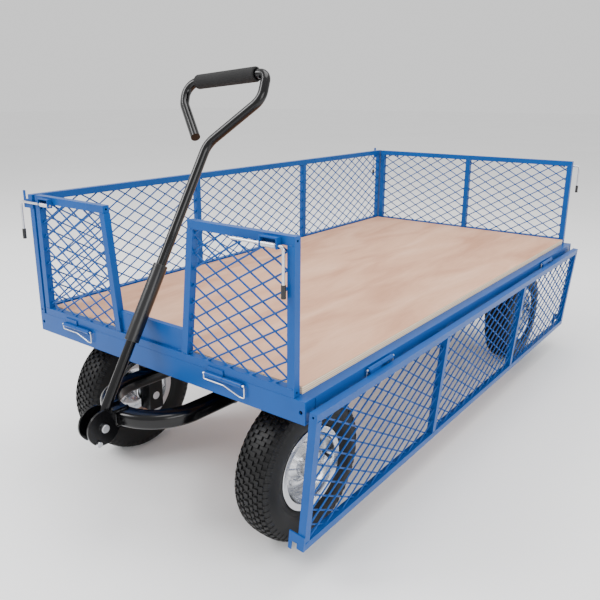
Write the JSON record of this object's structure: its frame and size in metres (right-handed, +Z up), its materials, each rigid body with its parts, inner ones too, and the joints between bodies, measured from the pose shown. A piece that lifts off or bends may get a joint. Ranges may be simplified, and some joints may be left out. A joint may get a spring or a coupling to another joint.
{
  "type": "garden platform truck with mesh sides",
  "caption": "Four-wheeled garden cart with a plywood deck, fold-down mesh side panels, steered front axle and leaning pull handle.",
  "frame": {"origin": "on the floor, under the middle of the cart's outline", "axes": "+X towards the cart's right side, where the side panel hangs down; -Y towards the drawbar; +Z up"},
  "size_m": [1.0677, 2.2221, 1.1934],
  "materials": {
    "blue_paint": "gloss",
    "plywood": "satin",
    "black_paint": "gloss",
    "dark_sleeve": "satin",
    "foam_grip": "matte",
    "zinc": "satin",
    "black_rubber": "matte",
    "tyre_rubber": "matte",
    "rim_silver": "satin"
  },
  "bodies": {
    "chassis": {"front_beam": "blue_paint", "rear_beam": "blue_paint", "left_beam": "blue_paint", "right_beam": "blue_paint", "cross_members": "blue_paint", "bolsters": "blue_paint", "deck_board": "plywood", "deck_screws": "zinc", "turntable_upper_ring": "blue_paint", "kingpin": "zinc", "rear_axle_beam": "black_paint", "rear_axle_legs": "black_paint", "rear_stub_axles": "zinc", "bed_hinge_barrels": "blue_paint", "hinge_pins": "zinc", "hinge_keepers": "zinc"},
    "front_axle": {"turntable_lower_ring": "black_paint", "front_axle_beam": "black_paint", "front_axle_legs": "black_paint", "front_stub_axles": "zinc", "drawbar_yoke": "black_paint", "clevis_cheeks": "black_paint", "clevis_bolts": "zinc", "yoke_bolts": "zinc"},
    "handle": {"handle_tube": "black_paint", "handle_sleeve": "dark_sleeve", "handle_grip": "foam_grip"},
    "left_panel": {"left_panel_frame": "blue_paint", "left_panel_mesh": "blue_paint"},
    "right_panel": {"right_panel_frame": "blue_paint", "right_panel_mesh": "blue_paint"},
    "rear_panel": {"rear_panel_frame": "blue_paint", "rear_panel_mesh": "blue_paint", "rear_latch_brackets": "blue_paint", "rear_latch_springs": "zinc"},
    "front_panel": {"front_panel_frame": "blue_paint", "front_panel_mesh": "blue_paint", "front_centre_plate": "blue_paint", "front_latch_brackets": "blue_paint", "front_latch_springs": "zinc"},
    "wheel_front_left": {"tyre_front_left": "tyre_rubber", "rim_front_left": "rim_silver", "bearings_front_left": "zinc"},
    "latch_front_left": {"latch_rod_front_left": "zinc", "latch_grip_front_left": "black_rubber"},
    "wheel_front_right": {"tyre_front_right": "tyre_rubber", "rim_front_right": "rim_silver", "bearings_front_right": "zinc"},
    "latch_front_right": {"latch_rod_front_right": "zinc", "latch_grip_front_right": "black_rubber"},
    "wheel_rear_left": {"tyre_rear_left": "tyre_rubber", "rim_rear_left": "rim_silver", "bearings_rear_left": "zinc"},
    "latch_rear_left": {"latch_rod_rear_left": "zinc", "latch_grip_rear_left": "black_rubber"},
    "wheel_rear_right": {"tyre_rear_right": "tyre_rubber", "rim_rear_right": "rim_silver", "bearings_rear_right": "zinc"},
    "latch_rear_right": {"latch_rod_rear_right": "zinc", "latch_grip_rear_right": "black_rubber"}
  },
  "joints": [
    {"name": "steering", "type": "hinge", "parent": "chassis", "child": "front_axle", "pos_m": [0.00115, -0.70405, 0.424], "axis": [0, 0, 1], "range_deg": [-11.5, 18.5]},
    {"name": "handle_pivot", "type": "hinge", "parent": "front_axle", "child": "handle", "pos_m": [-0.02083, -1.06338, 0.325], "axis": [0.9981, -0.061, 0], "range_deg": [0, 105]},
    {"name": "roll_front_left", "type": "hinge", "parent": "front_axle", "child": "wheel_front_left", "pos_m": [-0.35219, -0.68244, 0.2], "axis": [0.9981, -0.061, 0], "continuous": true},
    {"name": "roll_front_right", "type": "hinge", "parent": "front_axle", "child": "wheel_front_right", "pos_m": [0.35449, -0.72566, 0.2], "axis": [0.9981, -0.061, 0], "continuous": true},
    {"name": "roll_rear_left", "type": "hinge", "parent": "chassis", "child": "wheel_rear_left", "pos_m": [-0.35285, 0.84095, 0.2], "axis": [1, 0, 0], "continuous": true},
    {"name": "roll_rear_right", "type": "hinge", "parent": "chassis", "child": "wheel_rear_right", "pos_m": [0.35515, 0.84095, 0.2], "axis": [1, 0, 0], "continuous": true},
    {"name": "left_panel_fold", "type": "hinge", "parent": "chassis", "child": "left_panel", "pos_m": [-0.50545, 0.09595, 0.475], "axis": [0, -1, 0], "range_deg": [0, 185]},
    {"name": "right_panel_fold", "type": "hinge", "parent": "chassis", "child": "right_panel", "pos_m": [0.50775, 0.09595, 0.475], "axis": [0, -1, 0], "range_deg": [0, 185]},
    {"name": "rear_panel_fold", "type": "hinge", "parent": "chassis", "child": "rear_panel", "pos_m": [0.00115, 1.10255, 0.475], "axis": [-1, 0, 0], "range_deg": [0, 178]},
    {"name": "front_panel_fold", "type": "hinge", "parent": "chassis", "child": "front_panel", "pos_m": [0.00115, -0.91065, 0.475], "axis": [1, 0, 0], "range_deg": [0, 4.2]},
    {"name": "latch_slide_front_left", "type": "slide", "parent": "front_panel", "child": "latch_front_left", "axis": [-1, 0, 0], "range_m": [-0.083, 0]},
    {"name": "latch_slide_front_right", "type": "slide", "parent": "front_panel", "child": "latch_front_right", "axis": [1, 0, 0], "range_m": [0, 0.083]},
    {"name": "latch_slide_rear_left", "type": "slide", "parent": "rear_panel", "child": "latch_rear_left", "axis": [-1, 0, 0], "range_m": [-0.083, 0]},
    {"name": "latch_slide_rear_right", "type": "slide", "parent": "rear_panel", "child": "latch_rear_right", "axis": [1, 0, 0], "range_m": [-0.046, 0.037]}
  ]
}
